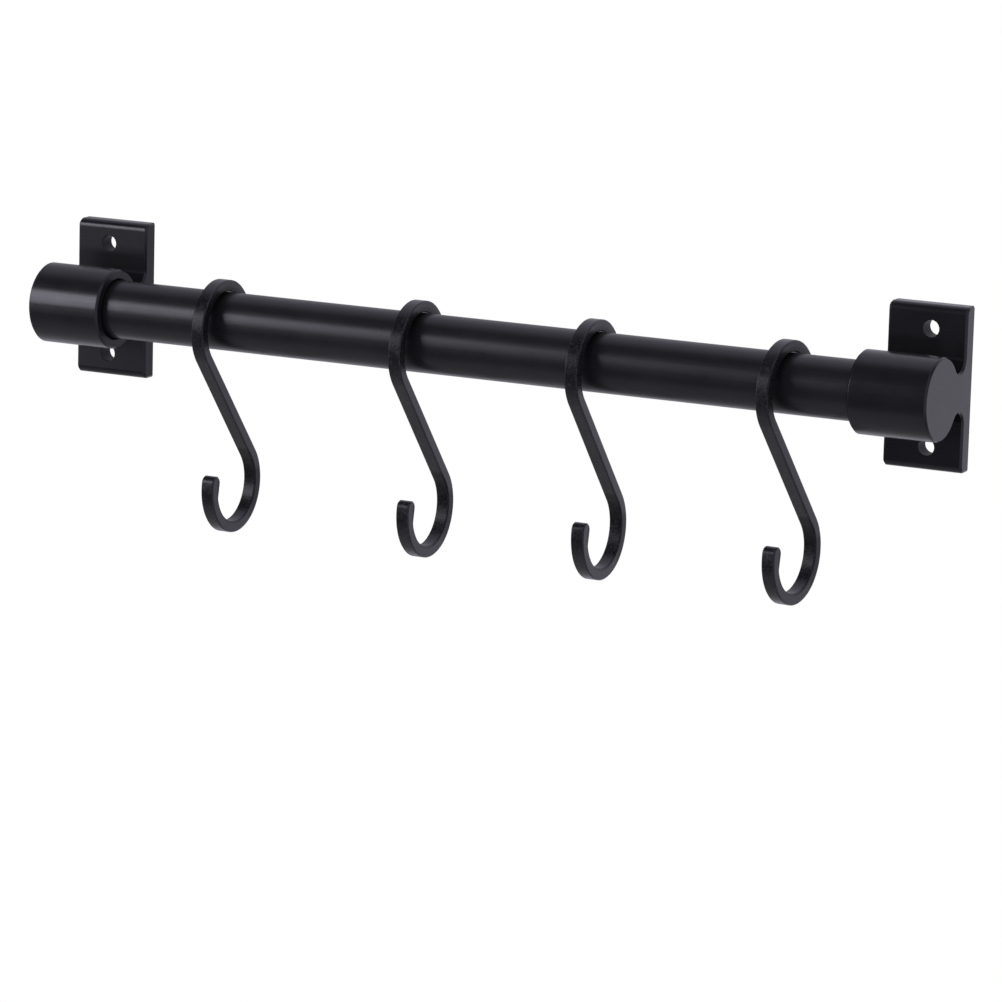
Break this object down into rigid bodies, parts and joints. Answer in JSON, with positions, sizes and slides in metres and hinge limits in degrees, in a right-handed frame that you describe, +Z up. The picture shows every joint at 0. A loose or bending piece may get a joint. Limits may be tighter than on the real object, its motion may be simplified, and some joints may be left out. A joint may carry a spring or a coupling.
{
  "type": "kitchen utensil rail",
  "caption": "Round black tube between extruded wall brackets with screw holes, carrying sliding S hooks for hanging utensils.",
  "frame": {"origin": "centre of the four wall screw holes, on the plane of the brackets' backs", "axes": "+X along the rail, to the right as seen from the front; +Y into the wall; +Z up"},
  "size_m": [0.267, 0.0339, 0.0812],
  "materials": {
    "bracket": "satin black",
    "tube": "satin black",
    "hook": "matte black powder coat",
    "set_screw": "black oxide"
  },
  "bodies": {
    "rail": {"bracket_left": "bracket", "bracket_right": "bracket", "rail_tube": "tube", "set_screw_left": "set_screw", "set_screw_right": "set_screw"},
    "hook_1": {"hook_1": "hook"},
    "hook_2": {"hook_2": "hook"},
    "hook_3": {"hook_3": "hook"},
    "hook_4": {"hook_4": "hook"}
  },
  "joints": [
    {"name": "hook_1_slide", "type": "slide", "parent": "rail", "child": "hook_1", "axis": [1, 0, 0], "range_m": [-0.03125, 0.02812]},
    {"name": "hook_2_slide", "type": "slide", "parent": "rail", "child": "hook_2", "axis": [1, 0, 0], "range_m": [-0.02812, 0.02405]},
    {"name": "hook_3_slide", "type": "slide", "parent": "rail", "child": "hook_3", "axis": [1, 0, 0], "range_m": [-0.02405, 0.02566]},
    {"name": "hook_4_slide", "type": "slide", "parent": "rail", "child": "hook_4", "axis": [1, 0, 0], "range_m": [-0.02461, 0.01805]}
  ]
}
